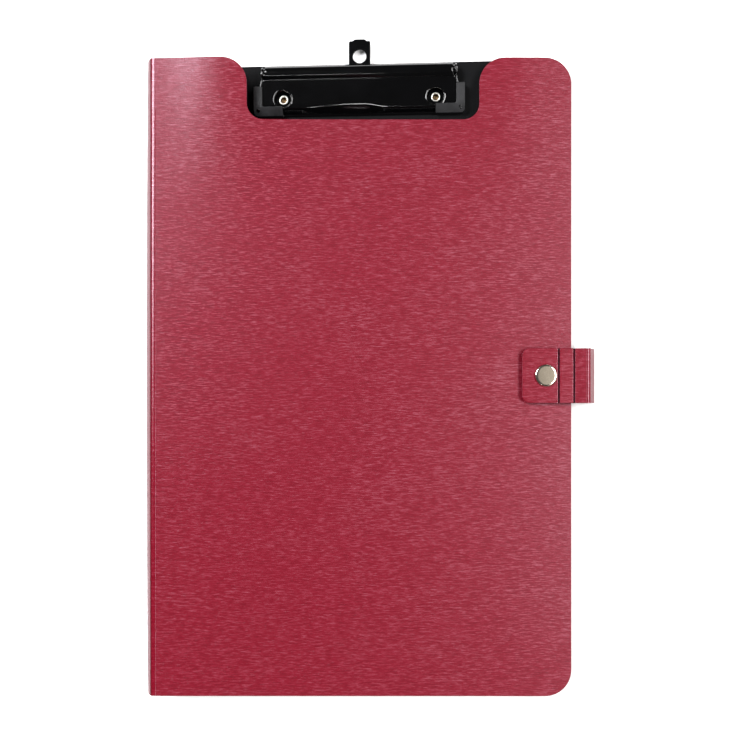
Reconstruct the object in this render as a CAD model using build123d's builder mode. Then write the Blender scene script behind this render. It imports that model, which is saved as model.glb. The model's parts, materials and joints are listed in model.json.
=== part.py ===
from build123d import *
from math import sin, cos, tan, radians, degrees, atan2, hypot, asin
import os

os.makedirs("parts", exist_ok=True)

# ---- driving dimensions, mm ----
SHEET = 1.2            # plastic sheet
HALF_Y = 175.5         # half height of the leaves
TOP_Y = 175.3          # top edge of rear leaf and board
RIGHT_X = 115.5        # right edge of both leaves
CORNER_R = 14.5
BOARD = 2.0            # stiff board
TILT = 4.57            # slope of the closed front leaf, degrees
LEAF_X, LEAF_Z = 0.33, 14.0   # centre of the front leaf's top face
U_FOLD = -115.0        # front fold, along the front leaf
REAR_FOLD = (-117.5, 0.6)
SPINE_BOW = 3.0
FOLD_GAP = 1.35        # each side of a spine fold
CREASE_GAP = 0.75      # each side of a strap crease
ROOT_GAP = 1.0
NOTCH_U0, NOTCH_U1, NOTCH_V = -62.9, 64.9, 141.7
NOTCH_R, NOTCH_R_IN = 14.0, 8.8
STRAP_W, STRAP_Y = 30.0, 0.65
STRAP_LIFT = 3.0       # strap mid-thickness above the front leaf
U_FLAP, U_C1, U_C2 = 88.0, 108.1, 116.5
BEND = (124.9, 8.4)
ROOT = (128.0, 0.6)
SNAP_U, SNAP_V = 101.0, 0.7
CLIP_X = -1.6          # clip centre
AX_Y, AX_Z = 169.7, 7.85      # clip rod axis
BARREL_R, PLATE_T = 3.75, 0.9
BARREL_HALF, JAW_HALF = 52.3, 56.4
WING_HALF = 54.3         # half width over the jaw's side wings at the rod
RIVET_DX, RIVET_Y = 42.55, 155.7
TAB_X, TAB_W, TAB_HOLE_R, TAB_HOLE_Y = -1.5, 12.0, 3.75, 179.3

t = radians(TILT)
Z0 = SHEET
Z1 = SHEET + BOARD     # board face
leaf = Plane(origin=(LEAF_X, 0, LEAF_Z), x_dir=(cos(t), 0, -sin(t)), z_dir=(sin(t), 0, cos(t)))


def at(u, w):
    """Row x and z of a point u along the front leaf and w above its top face."""
    return (LEAF_X + u * cos(t) + w * sin(t), LEAF_Z - u * sin(t) + w * cos(t))


def strip(p, q, a, b, th):
    """Section of a flat facet between fold p and fold q, set back by a and b."""
    d = ((q[0] - p[0]), (q[1] - p[1]))
    n = hypot(*d)
    d = (d[0] / n, d[1] / n)
    s = (p[0] + d[0] * a, p[1] + d[1] * a)
    e = (q[0] - d[0] * b, q[1] - d[1] * b)
    h = (-d[1] * th / 2, d[0] * th / 2)
    return [(s[0] + h[0], s[1] + h[1]), (e[0] + h[0], e[1] + h[1]),
            (e[0] - h[0], e[1] - h[1]), (s[0] - h[0], s[1] - h[1])]


FRONT_FOLD = at(U_FOLD, -SHEET / 2)
C1 = at(U_C1, STRAP_LIFT)
C2 = at(U_C2, STRAP_LIFT)

# ---- rear leaf with the strap's tongue ----
with BuildPart() as back_panel:
    with BuildSketch(Plane.XY):
        x0 = REAR_FOLD[0] + FOLD_GAP
        with Locations(((x0 + RIGHT_X) / 2, (TOP_Y - HALF_Y) / 2)):
            Rectangle(RIGHT_X - x0, TOP_Y + HALF_Y)
        fillet(vertices().filter_by_position(Axis.X, RIGHT_X - 1, RIGHT_X + 1), CORNER_R)
        with Locations(((RIGHT_X - 5 + ROOT[0] - ROOT_GAP) / 2, STRAP_Y)):
            Rectangle(ROOT[0] - ROOT_GAP - RIGHT_X + 5, STRAP_W)
        with Locations((CLIP_X - RIVET_DX, RIVET_Y), (CLIP_X + RIVET_DX, RIVET_Y)):
            Circle(5.2, mode=Mode.SUBTRACT)
    extrude(amount=SHEET)

# ---- stiff board fixed on the rear leaf ----
with BuildPart() as backing_board:
    with BuildSketch(Plane.XY.offset(Z0)):
        with Locations((0.25, (TOP_Y - 174.0) / 2)):
            Rectangle(227.5, TOP_Y + 174.0)
        fillet(vertices().filter_by_position(Axis.X, 113, 115), 13.0)
        with Locations((CLIP_X - RIVET_DX, RIVET_Y), (CLIP_X + RIVET_DX, RIVET_Y)):
            Circle(2.25, mode=Mode.SUBTRACT)
    extrude(amount=BOARD)

# ---- bowed spine strip ----
chord = (FRONT_FOLD[0] - REAR_FOLD[0], FRONT_FOLD[1] - REAR_FOLD[1])
clen = hypot(*chord)
spine_r = (clen * clen / 4 + SPINE_BOW ** 2) / (2 * SPINE_BOW)
mid = ((FRONT_FOLD[0] + REAR_FOLD[0]) / 2, (FRONT_FOLD[1] + REAR_FOLD[1]) / 2)
nx, nz = chord[1] / clen, -chord[0] / clen          # points inboard
cx, cz = mid[0] + nx * (spine_r - SPINE_BOW), mid[1] + nz * (spine_r - SPINE_BOW)
a_lo = atan2(REAR_FOLD[1] - cz, REAR_FOLD[0] - cx) % (2 * 3.141592653589793)
a_hi = atan2(FRONT_FOLD[1] - cz, FRONT_FOLD[0] - cx) % (2 * 3.141592653589793)
a_lo -= FOLD_GAP / spine_r
a_hi += FOLD_GAP / spine_r
a_mid = (a_lo + a_hi) / 2


def on_spine(r, a):
    return (cx + r * cos(a), cz + r * sin(a))


with BuildPart() as spine_panel:
    with BuildSketch(Plane.XZ):
        ro, ri = spine_r + SHEET / 2, spine_r - SHEET / 2
        with BuildLine():
            ThreePointArc(on_spine(ro, a_lo), on_spine(ro, a_mid), on_spine(ro, a_hi))
            Line(on_spine(ro, a_hi), on_spine(ri, a_hi))
            ThreePointArc(on_spine(ri, a_hi), on_spine(ri, a_mid), on_spine(ri, a_lo))
            Line(on_spine(ri, a_lo), on_spine(ro, a_lo))
        make_face()
    extrude(amount=HALF_Y, both=True)

# ---- front leaf with the notch around the clip ----
with BuildPart() as front_cover:
    with BuildSketch(leaf.offset(-SHEET)):
        u0 = U_FOLD + FOLD_GAP
        with Locations(((u0 + RIGHT_X) / 2, 0)):
            Rectangle(RIGHT_X - u0, 2 * HALF_Y)
        with Locations(((NOTCH_U0 + NOTCH_U1) / 2, (NOTCH_V + HALF_Y) / 2 + 5)):
            Rectangle(NOTCH_U1 - NOTCH_U0, HALF_Y - NOTCH_V + 10, mode=Mode.SUBTRACT)
        fillet(vertices().filter_by_position(Axis.X, RIGHT_X - 1, RIGHT_X + 1), CORNER_R)
        inner = vertices().filter_by_position(Axis.X, NOTCH_U0 - 1, NOTCH_U1 + 1)
        fillet(inner.filter_by_position(Axis.Y, NOTCH_V - 1, NOTCH_V + 1), NOTCH_R_IN)
        inner = vertices().filter_by_position(Axis.X, NOTCH_U0 - 1, NOTCH_U1 + 1)
        fillet(inner.filter_by_position(Axis.Y, HALF_Y - 1, HALF_Y + 1), NOTCH_R)
        with Locations((SNAP_U, SNAP_V)):
            Circle(1.9, mode=Mode.SUBTRACT)
    extrude(amount=SHEET)

# ---- strap facets ----
with BuildPart() as strap_side:
    with BuildSketch(Plane.XZ.offset(-STRAP_Y)):
        with BuildLine():
            Polyline(*strip(ROOT, BEND, ROOT_GAP, CREASE_GAP, SHEET), close=True)
        make_face()
    extrude(amount=STRAP_W / 2, both=True)

with BuildPart() as strap_mid_outer:
    with BuildSketch(Plane.XZ.offset(-STRAP_Y)):
        with BuildLine():
            Polyline(*strip(BEND, C2, CREASE_GAP, CREASE_GAP, SHEET), close=True)
        make_face()
    extrude(amount=STRAP_W / 2, both=True)

with BuildPart() as strap_mid_inner:
    with BuildSketch(leaf.offset(STRAP_LIFT - SHEET / 2)):
        with Locations(((U_C1 + U_C2) / 2, STRAP_Y)):
            Rectangle(U_C2 - U_C1 - 2 * CREASE_GAP, STRAP_W)
    extrude(amount=SHEET)

with BuildPart() as strap_flap:
    with BuildSketch(leaf.offset(STRAP_LIFT - SHEET / 2)):
        with Locations(((U_FLAP + U_C1 - CREASE_GAP) / 2, STRAP_Y)):
            Rectangle(U_C1 - CREASE_GAP - U_FLAP, STRAP_W)
        fillet(vertices().filter_by_position(Axis.X, U_FLAP - 1, U_FLAP + 1), 3.6)
        with Locations((SNAP_U, SNAP_V)):
            Circle(1.9, mode=Mode.SUBTRACT)
    extrude(amount=SHEET)

# ---- snap fastener ----
TOP = STRAP_LIFT + SHEET / 2      # flap's top face above the front leaf
LOW = STRAP_LIFT - SHEET / 2
with BuildPart() as snap_cap:
    with BuildSketch(leaf.offset(TOP)):
        with Locations((SNAP_U, SNAP_V)):
            Circle(6.25)
    extrude(amount=1.5)
    fillet(edges().group_by(Axis((LEAF_X, 0, LEAF_Z), (sin(t), 0, cos(t))))[-1], 1.25)
    with BuildSketch(leaf.offset(LOW - 0.4)):
        with Locations((SNAP_U, SNAP_V)):
            Circle(1.8)
    extrude(amount=SHEET + 0.4)

with BuildPart() as snap_socket:
    with BuildSketch(leaf.offset(0.5)):
        with Locations((SNAP_U, SNAP_V)):
            Circle(5.25)
    extrude(amount=LOW - 0.5)
    with BuildSketch(leaf.offset(0.5)):
        with Locations((SNAP_U, SNAP_V)):
            Circle(2.45)
    extrude(amount=1.45, mode=Mode.SUBTRACT)
    with BuildSketch(leaf.offset(0.5)):
        with Locations((SNAP_U, SNAP_V)):
            Circle(1.85)
    extrude(amount=LOW, mode=Mode.SUBTRACT)

with BuildPart() as snap_stud:
    with BuildSketch(leaf):
        with Locations((SNAP_U, SNAP_V)):
            Circle(5.0)
    extrude(amount=0.4)
    with BuildSketch(leaf):
        with Locations((SNAP_U, SNAP_V)):
            Circle(1.8)
    extrude(amount=0.9)
    with BuildSketch(leaf.offset(0.9)):
        with Locations((SNAP_U, SNAP_V)):
            Circle(2.1)
    extrude(amount=0.9)
    fillet(edges().group_by(Axis((LEAF_X, 0, LEAF_Z), (sin(t), 0, cos(t))))[-1], 0.5)
    with BuildSketch(leaf):
        with Locations((SNAP_U, SNAP_V)):
            Circle(1.3)
    extrude(amount=1.35, mode=Mode.SUBTRACT)

with BuildPart() as snap_post:
    with BuildSketch(leaf.offset(-SHEET - 0.8)):
        with Locations((SNAP_U, SNAP_V)):
            Circle(4.5)
    extrude(amount=0.8)
    with BuildSketch(leaf.offset(-SHEET)):
        with Locations((SNAP_U, SNAP_V)):
            Circle(1.8)
    extrude(amount=SHEET)
    with BuildSketch(leaf):
        with Locations((SNAP_U, SNAP_V)):
            Circle(1.25)
    extrude(amount=1.25)

# ---- clip: pressed base plate ----
EAR_IN, EAR_OUT = 52.45, 53.25
BASE_Y0, BASE_HALF = 151.3, 54.0
with BuildPart() as clip_base_plate:
    with BuildSketch(Plane.XY.offset(Z1)):
        with Locations((CLIP_X, (BASE_Y0 + 166.2) / 2)):
            Rectangle(2 * BASE_HALF, 166.2 - BASE_Y0)
        with Locations((CLIP_X - (EAR_OUT + 42) / 2, (165 + 172.3) / 2), (CLIP_X + (EAR_OUT + 42) / 2, (165 + 172.3) / 2)):
            Rectangle(EAR_OUT - 42, 172.3 - 165)
    extrude(amount=0.8)
    # ears that carry the rod
    for side in (-1, 1):
        with BuildSketch(Plane.YZ.offset(CLIP_X + (EAR_IN if side > 0 else -EAR_OUT))):
            with Locations((AX_Y, AX_Z)):
                Circle(2.6)
            with Locations((AX_Y, (Z1 + AX_Z) / 2)):
                Rectangle(5.2, AX_Z - Z1)
            with Locations((AX_Y, AX_Z)):
                Circle(1.52, mode=Mode.SUBTRACT)
        extrude(amount=EAR_OUT - EAR_IN)
    # bridge over the hanging tab
    with BuildSketch(Plane.XY.offset(Z1)):
        with Locations((TAB_X, (BASE_Y0 + 165.3) / 2)):
            Rectangle(15.2, 165.3 - BASE_Y0)
    extrude(amount=2.1)
    with BuildSketch(Plane.XY.offset(Z1)):
        with Locations((TAB_X, 157.2)):
            Rectangle(12.9, 14.8)
        with Locations((TAB_X, 160)):
            Rectangle(12.2, 30)
    extrude(amount=1.35, mode=Mode.SUBTRACT)
    with BuildSketch(Plane.XY.offset(Z1 - 1)):
        with Locations((CLIP_X - RIVET_DX, RIVET_Y), (CLIP_X + RIVET_DX, RIVET_Y)):
            Circle(2.25)
    extrude(amount=5, mode=Mode.SUBTRACT)

# ---- clip: jaw plate ----
plate_line = [(166.3, 9.25), (150.3, 8.6), (147.75, 5.2), (146.6, 4.55)]


def inset(line, d):
    """The line moved sideways by d, to its left."""
    out = []
    for i, p in enumerate(line):
        ds = []
        for a, b in ((i - 1, i), (i, i + 1)):
            if a >= 0 and b < len(line):
                v = (line[b][0] - line[a][0], line[b][1] - line[a][1])
                m = hypot(*v)
                ds.append((-v[1] / m, v[0] / m))
        n = (sum(x[0] for x in ds), sum(x[1] for x in ds))
        m = hypot(*n)
        n = (n[0] / m, n[1] / m)
        k = d / (n[0] * ds[0][0] + n[1] * ds[0][1])
        out.append((p[0] + n[0] * k, p[1] + n[1] * k))
    return out


lower_line = inset(plate_line, PLATE_T)
WING_Y = [157.0, 158.5, 160.0, 161.5, 163.0, 164.5, 166.0, 167.5, 169.0, 174.0]


def wing_x(y):
    """Half width over the side wings at y: full at the front, swept in to the rod."""
    k = min(1, max(0, (y - 157.0) / 12.0))
    k = k * k * (3 - 2 * k)
    return JAW_HALF + (WING_HALF - JAW_HALF) * k


def wing(side):
    """One side wing, swept in plan, with a round end about the rod."""
    with BuildPart() as w:
        ys = [149.4] + WING_Y
        with BuildSketch(Plane.XY.offset(3)):
            with BuildLine():
                Polyline(*[(CLIP_X + side * wing_x(y), y) for y in ys], *[(CLIP_X + side * (wing_x(y) - PLATE_T), y) for y in reversed(ys)], close=True)
            make_face()
        extrude(amount=10)
        with BuildSketch(Plane.YZ.offset(CLIP_X + side * 54)):
            with BuildLine():
                Polyline((149.4, 5.9), (149.4, 7.7), (150.4, 8.3), (166.3, 8.9), (AX_Y, AX_Z + 3.3), (AX_Y, AX_Z - 3.3), (166.0, 5.9), close=True)
            make_face()
            with Locations((AX_Y, AX_Z)):
                Circle(3.4)
            with Locations((AX_Y, AX_Z)):
                Circle(1.58, mode=Mode.SUBTRACT)
        extrude(amount=4, both=True, mode=Mode.INTERSECT)
    return w.part


with BuildPart() as clip_jaw_plate:
    with BuildSketch(Plane.YZ.offset(CLIP_X)):
        with BuildLine():
            Polyline(*plate_line, *reversed(lower_line), close=True)
        make_face()
        fillet(vertices().sort_by_distance((*plate_line[1], 0))[:1], 1.6)
        fillet(vertices().sort_by_distance((*lower_line[1], 0))[:1], 0.8)
        with Locations((AX_Y, AX_Z)):
            Circle(BARREL_R - PLATE_T, mode=Mode.SUBTRACT)
    extrude(amount=JAW_HALF, both=True)
    with BuildSketch(Plane.YZ.offset(CLIP_X)):
        with BuildLine():
            r = BARREL_R
            ThreePointArc((AX_Y + r * cos(radians(-20)), AX_Z + r * sin(radians(-20))), (AX_Y, AX_Z + r),
                          (AX_Y + r * cos(radians(176)), AX_Z + r * sin(radians(176))))
            q = BARREL_R - PLATE_T
            Line((AX_Y + r * cos(radians(176)), AX_Z + r * sin(radians(176))), (AX_Y + q * cos(radians(176)), AX_Z + q * sin(radians(176))))
            ThreePointArc((AX_Y + q * cos(radians(176)), AX_Z + q * sin(radians(176))), (AX_Y, AX_Z + q),
                          (AX_Y + q * cos(radians(-20)), AX_Z + q * sin(radians(-20))))
            Line((AX_Y + q * cos(radians(-20)), AX_Z + q * sin(radians(-20))), (AX_Y + r * cos(radians(-20)), AX_Z + r * sin(radians(-20))))
        make_face()
    extrude(amount=BARREL_HALF, both=True)
    for side in (-1, 1):
        # the plate narrows toward the rod, outside the line of the wings
        outside = [(CLIP_X + side * wing_x(y), y) for y in WING_Y] + [(CLIP_X + side * 60, WING_Y[-1]), (CLIP_X + side * 60, WING_Y[0])]
        with BuildSketch(Plane.XY.offset(3)):
            with BuildLine():
                Polyline(*outside, close=True)
            make_face()
        extrude(amount=10, mode=Mode.SUBTRACT)
        add(wing(side))
    with BuildSketch(Plane.XY.offset(Z1 + 2.5)):
        with Locations((CLIP_X - RIVET_DX, RIVET_Y - 0.5), (CLIP_X + RIVET_DX, RIVET_Y - 0.5)):
            Circle(4.9)
    extrude(amount=8, mode=Mode.SUBTRACT)

# ---- rubber grips on the jaw's front corners ----
def grip(side):
    with BuildPart() as body:
        with BuildSketch(Plane.XY.offset(Z1 + 0.05)):
            with Locations((CLIP_X + side * 56.4, (146.1 + 162.2) / 2)):
                Rectangle(4.8, 162.2 - 146.1)
            with Locations((CLIP_X + side * (58.8 + 42.6) / 2, (146.1 + 151.0) / 2)):
                Rectangle(58.8 - 42.6, 151.0 - 146.1)
            fillet(vertices().sort_by_distance((CLIP_X + side * 58.8, 146.1, 0))[:1], 2.6)
        extrude(amount=9.95 - Z1 - 0.05)
    return body.part


def one(shape, label):
    found = shape.solids()
    got = max(found, key=lambda s: s.volume)
    got.label = label
    return got


with BuildPart() as jaw_grip_left:
    add(one(grip(-1) - clip_jaw_plate.part, "jaw_grip_left"))
with BuildPart() as jaw_grip_right:
    add(one(grip(1) - clip_jaw_plate.part, "jaw_grip_right"))

# ---- rod, springs, rivets ----
with BuildPart() as clip_hinge_rod:
    with BuildSketch(Plane.YZ.offset(CLIP_X)):
        with Locations((AX_Y, AX_Z)):
            Circle(1.5)
    extrude(amount=54.7, both=True)

WIRE, COIL_R, PITCH, TURNS = 0.45, 2.2, 1.3, 8.25
with BuildPart() as clip_springs:
    for side in (-1, 1):
        with BuildLine():
            coil = Helix(pitch=PITCH, height=PITCH * TURNS, radius=COIL_R, center=(CLIP_X + side * 14.0, AX_Y, AX_Z), direction=(side, 0, 0))
        with BuildSketch(Plane(origin=coil @ 0, z_dir=coil % 0)):
            Circle(WIRE)
        sweep(path=coil, is_frenet=True)

with BuildPart() as clip_rivets:
    for side in (-1, 1):
        with Locations((CLIP_X + side * RIVET_DX, RIVET_Y, 0.25)):
            Cylinder(4.6, Z0 - 0.25, align=(Align.CENTER, Align.CENTER, Align.MIN))
        with Locations((CLIP_X + side * RIVET_DX, RIVET_Y, Z0 - 0.1)):
            Cylinder(2.2, Z1 + 0.8 - Z0 + 0.3, align=(Align.CENTER, Align.CENTER, Align.MIN))
        with Locations((CLIP_X + side * RIVET_DX, RIVET_Y, Z1 + 0.8)):
            Cylinder(2.65, 0.9, align=(Align.CENTER, Align.CENTER, Align.MIN))
    fillet(edges().filter_by(GeomType.CIRCLE).group_by(Axis.Z)[-1], 0.4)
    for side in (-1, 1):
        with Locations((CLIP_X + side * RIVET_DX, RIVET_Y, 1.6)):
            Cylinder(1.75, 6, align=(Align.CENTER, Align.CENTER, Align.MIN), mode=Mode.SUBTRACT)

# ---- sliding hanging tab ----
with BuildPart() as hanging_tab:
    with BuildSketch(Plane.XY.offset(Z1 + 0.2)):
        with Locations((TAB_X, (163.0 + 187.9) / 2)):
            Rectangle(TAB_W, 187.9 - 163.0)
        with Locations((TAB_X, 187.5)):
            Rectangle(7.0, 2.8)
        with Locations((TAB_X, 163.7)):
            Rectangle(12.6, 1.4)
        with Locations((TAB_X, TAB_HOLE_Y)):
            Circle(TAB_HOLE_R, mode=Mode.SUBTRACT)
    extrude(amount=1.0)

nodes = {
    "back_panel": back_panel, "backing_board": backing_board, "spine_panel": spine_panel, "front_cover": front_cover,
    "strap_side": strap_side, "strap_mid_outer": strap_mid_outer, "strap_mid_inner": strap_mid_inner, "strap_flap": strap_flap,
    "snap_cap": snap_cap, "snap_socket": snap_socket, "snap_stud": snap_stud, "snap_post": snap_post,
    "clip_base_plate": clip_base_plate, "clip_jaw_plate": clip_jaw_plate, "jaw_grip_left": jaw_grip_left,
    "jaw_grip_right": jaw_grip_right, "clip_hinge_rod": clip_hinge_rod, "clip_springs": clip_springs,
    "clip_rivets": clip_rivets, "hanging_tab": hanging_tab,
}
for name, made in nodes.items():
    made.part.label = name
    export_step(made.part, "parts/" + name + ".step")
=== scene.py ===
import json
import math
from math import sin, cos, tan, radians, pi, hypot, atan2, exp

import bpy
import bmesh
import numpy as np
from mathutils import Vector, Matrix


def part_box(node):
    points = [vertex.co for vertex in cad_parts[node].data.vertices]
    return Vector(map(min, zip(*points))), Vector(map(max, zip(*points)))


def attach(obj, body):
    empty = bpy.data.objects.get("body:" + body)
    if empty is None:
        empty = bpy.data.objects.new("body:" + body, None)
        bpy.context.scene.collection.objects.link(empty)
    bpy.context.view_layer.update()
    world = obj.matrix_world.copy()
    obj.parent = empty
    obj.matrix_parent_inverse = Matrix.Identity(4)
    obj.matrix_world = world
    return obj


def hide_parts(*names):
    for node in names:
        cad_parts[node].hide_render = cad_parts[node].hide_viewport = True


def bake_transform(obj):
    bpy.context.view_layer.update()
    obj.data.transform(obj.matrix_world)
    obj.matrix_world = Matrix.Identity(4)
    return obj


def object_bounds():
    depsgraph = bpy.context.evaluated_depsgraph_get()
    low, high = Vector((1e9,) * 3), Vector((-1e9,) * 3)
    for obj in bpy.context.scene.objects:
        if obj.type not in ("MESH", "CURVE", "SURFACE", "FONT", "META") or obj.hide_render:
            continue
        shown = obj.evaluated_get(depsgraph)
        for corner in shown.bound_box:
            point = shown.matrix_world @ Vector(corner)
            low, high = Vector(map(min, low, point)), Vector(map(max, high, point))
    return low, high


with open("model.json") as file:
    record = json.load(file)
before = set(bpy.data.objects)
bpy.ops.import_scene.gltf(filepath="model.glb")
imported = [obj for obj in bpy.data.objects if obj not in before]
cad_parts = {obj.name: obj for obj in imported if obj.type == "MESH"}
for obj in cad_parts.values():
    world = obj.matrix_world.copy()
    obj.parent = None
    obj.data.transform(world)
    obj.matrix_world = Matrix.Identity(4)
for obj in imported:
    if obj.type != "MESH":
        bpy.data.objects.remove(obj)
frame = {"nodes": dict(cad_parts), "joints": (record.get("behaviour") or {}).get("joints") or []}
CAD_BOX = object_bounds()
NODES = frame["nodes"]
JOINTS = {j["name"]: j for j in frame["joints"]}
MM = 0.001

# ------------------------------------------------------------------ frame
# folds and axes, from the record's joints (mm)


def jpos(name):
    p = JOINTS[name]["pos_m"]
    return (p[0] / MM, p[2] / MM)


REAR = jpos("spine_rear_fold")
FRONT = jpos("spine_front_fold")
ROOT = jpos("strap_root_fold")
BEND = jpos("strap_bend_fold")
C2 = jpos("strap_outer_crease")
C1 = jpos("strap_inner_crease")
AXY, AXZ = JOINTS["jaw_hinge"]["pos_m"][1] / MM, JOINTS["jaw_hinge"]["pos_m"][2] / MM
CLIPX = JOINTS["jaw_hinge"]["pos_m"][0] / MM
TILT = radians(4.57)
U_DIR = Vector((cos(TILT), 0, -sin(TILT)))
N_DIR = Vector((sin(TILT), 0, cos(TILT)))
V_DIR = Vector((0, 1, 0))
U_FOLD = -115.0
SHEET = 1.2
LIFT = 3.0
# centre of the front leaf's top face: the front fold is at u = U_FOLD, half a sheet down
ORIGIN = Vector((FRONT[0], 0, FRONT[1])) - U_DIR * U_FOLD + N_DIR * (SHEET / 2)


def leaf(u, v, w):
    return ORIGIN + U_DIR * u + V_DIR * v + N_DIR * w


def nbox(n):
    a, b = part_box(n)
    return a / MM, b / MM


cov_lo, cov_hi = nbox("front_cover")
HALF_Y = cov_hi.y
back_lo, back_hi = nbox("back_panel")
board_lo, board_hi = nbox("backing_board")
tab_lo, tab_hi = nbox("hanging_tab")
jaw_lo, jaw_hi = nbox("clip_jaw_plate")
gl_lo, gl_hi = nbox("jaw_grip_left")
gr_lo, gr_hi = nbox("jaw_grip_right")
riv_lo, riv_hi = nbox("clip_rivets")
strap_lo, strap_hi = nbox("strap_side")
STRAP_Y0, STRAP_Y1 = strap_lo.y, strap_hi.y
RIGHT_X = 115.5
BOARD_TOP = board_hi.z
U_FLAP, U_C1, U_C2 = 88.0, 108.1, 116.5
SNAP_U, SNAP_V = 101.0, 0.7
NOTCH_U0, NOTCH_U1, NOTCH_V = -62.9, 64.9, 141.7
RIV_Y = (riv_lo.y + riv_hi.y) / 2
RIV_X = (riv_lo.x + 4.6, riv_hi.x - 4.6)
TABX = (tab_lo.x + tab_hi.x) / 2

# ------------------------------------------------------------------ mesh helpers


def obj_from(name, verts, faces, smooth=True, collection=None):
    me = bpy.data.meshes.new(name)
    me.from_pydata([tuple(Vector(v) * MM) for v in verts], [], faces)
    me.validate()
    me.update()
    ob = bpy.data.objects.new(name, me)
    bpy.context.scene.collection.objects.link(ob)
    fix_normals(ob)
    if smooth:
        for p in me.polygons:
            p.use_smooth = True
    return ob


def fix_normals(ob):
    bm = bmesh.new()
    bm.from_mesh(ob.data)
    bmesh.ops.recalc_face_normals(bm, faces=bm.faces[:])
    bm.to_mesh(ob.data)
    bm.free()


def tidy(ob, dist=0.006):
    """Welds what cutting and bevelling leave a few microns apart."""
    bm = bmesh.new()
    bm.from_mesh(ob.data)
    bmesh.ops.remove_doubles(bm, verts=bm.verts[:], dist=dist * MM)
    bmesh.ops.dissolve_degenerate(bm, dist=dist * MM, edges=bm.edges[:])
    loose = [v for v in bm.verts if not v.link_faces]
    bmesh.ops.delete(bm, geom=loose, context="VERTS")
    bmesh.ops.recalc_face_normals(bm, faces=bm.faces[:])
    bm.to_mesh(ob.data)
    bm.free()


def bake(ob):
    """Applies the modifiers, so that the mesh is final."""
    dg = bpy.context.evaluated_depsgraph_get()
    me = bpy.data.meshes.new_from_object(ob.evaluated_get(dg))
    ob.modifiers.clear()
    ob.data = me
    return ob


def bevel(ob, width, segments=2, angle=35, weighted=True):
    m = ob.modifiers.new("edge", "BEVEL")
    m.width = width * MM
    m.segments = segments
    m.limit_method = "ANGLE"
    m.angle_limit = radians(angle)
    m.harden_normals = False
    if weighted:
        w = ob.modifiers.new("weighted", "WEIGHTED_NORMAL")
        w.keep_sharp = True
    return ob


def arc(cx, cy, r, a0, a1, n):
    return [(cx + r * cos(radians(a0 + (a1 - a0) * i / n)), cy + r * sin(radians(a0 + (a1 - a0) * i / n))) for i in range(n + 1)]


def outline_plate(name, loop, holes, place, w0, w1, cuts_u=(), cuts_v=(), shift=None):
    """A flat plate from an outline with holes, cut into strips so that it can be bent, with shift(u, v) added along the normal."""
    bm = bmesh.new()
    edges = []
    for ring in [loop] + list(holes):
        vs = [bm.verts.new((x, y, 0)) for x, y in ring]
        edges += [bm.edges.new((vs[i], vs[(i + 1) % len(vs)])) for i in range(len(vs))]
    bmesh.ops.triangle_fill(bm, use_beauty=True, use_dissolve=False, edges=edges)
    bmesh.ops.dissolve_limit(bm, angle_limit=0.01, verts=bm.verts[:], edges=bm.edges[:], delimit=set())
    for x in cuts_u:
        bmesh.ops.bisect_plane(bm, geom=bm.verts[:] + bm.edges[:] + bm.faces[:], plane_co=(x, 0, 0), plane_no=(1, 0, 0))
    for y in cuts_v:
        bmesh.ops.bisect_plane(bm, geom=bm.verts[:] + bm.edges[:] + bm.faces[:], plane_co=(0, y, 0), plane_no=(0, 1, 0))
    bm.normal_update()
    for f in bm.faces:
        if f.normal.z < 0:
            f.normal_flip()
    flat = bm.faces[:]
    top = bmesh.ops.duplicate(bm, geom=bm.verts[:] + bm.edges[:] + flat)
    vmap = {}
    for k, v in top["vert_map"].items():
        vmap[k] = v
    originals = set(v for f in flat for v in f.verts)
    for f in flat:
        f.normal_flip()
    border = [e for e in bm.edges if len(e.link_faces) == 1 and e.verts[0] in originals and e.verts[1] in originals]
    for e in border:
        a, b = e.verts
        bm.faces.new((a, b, vmap[b], vmap[a]))
    tops = set(vmap[v] for v in originals)
    for v in bm.verts:
        u, y = v.co.x, v.co.y
        w = (w1 if v in tops else w0) + (shift(u, y) if shift else 0.0)
        v.co = place(u, y, w) * MM
    bmesh.ops.recalc_face_normals(bm, faces=bm.faces[:])
    me = bpy.data.meshes.new(name)
    bm.to_mesh(me)
    bm.free()
    ob = bpy.data.objects.new(name, me)
    bpy.context.scene.collection.objects.link(ob)
    for p in me.polygons:
        p.use_smooth = True
    return ob


def strip_along_y(name, section, y0, y1, ny=24, bulge=None, split=False):
    """A closed section in x and z, carried along y."""
    verts, faces = [], []
    n = len(section)
    for j in range(ny + 1):
        s = j / ny
        y = y0 + (y1 - y0) * s
        for i, (x, z) in enumerate(section):
            dx = bulge(i / n, s) if bulge else 0.0
            verts.append((x + dx, y, z))
    for j in range(ny):
        for i in range(n):
            a, b = j * n + i, j * n + (i + 1) % n
            faces.append((a, b, b + n, a + n))
    faces.append(tuple(reversed(range(n))))
    faces.append(tuple(ny * n + i for i in range(n)))
    ob = obj_from(name, verts, faces)
    if split:
        for e in ob.data.edges:
            a, b = e.vertices
            if (a < n and b < n) or (a >= ny * n and b >= ny * n):
                e.use_edge_sharp = True
    return ob


def thick(path, th_l, th_r):
    """Closed section around an open path: th_l to its left, th_r to its right (numbers or lists)."""
    n = len(path)
    left, right = [], []
    for i, p in enumerate(path):
        a = path[max(0, i - 1)]
        b = path[min(n - 1, i + 1)]
        d = Vector((b[0] - a[0], b[1] - a[1])).normalized()
        nrm = Vector((-d.y, d.x))
        tl = th_l[i] if isinstance(th_l, (list, tuple)) else th_l
        tr = th_r[i] if isinstance(th_r, (list, tuple)) else th_r
        left.append((p[0] + nrm.x * tl, p[1] + nrm.y * tl))
        right.append((p[0] - nrm.x * tr, p[1] - nrm.y * tr))
    return left + right[::-1]


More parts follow.
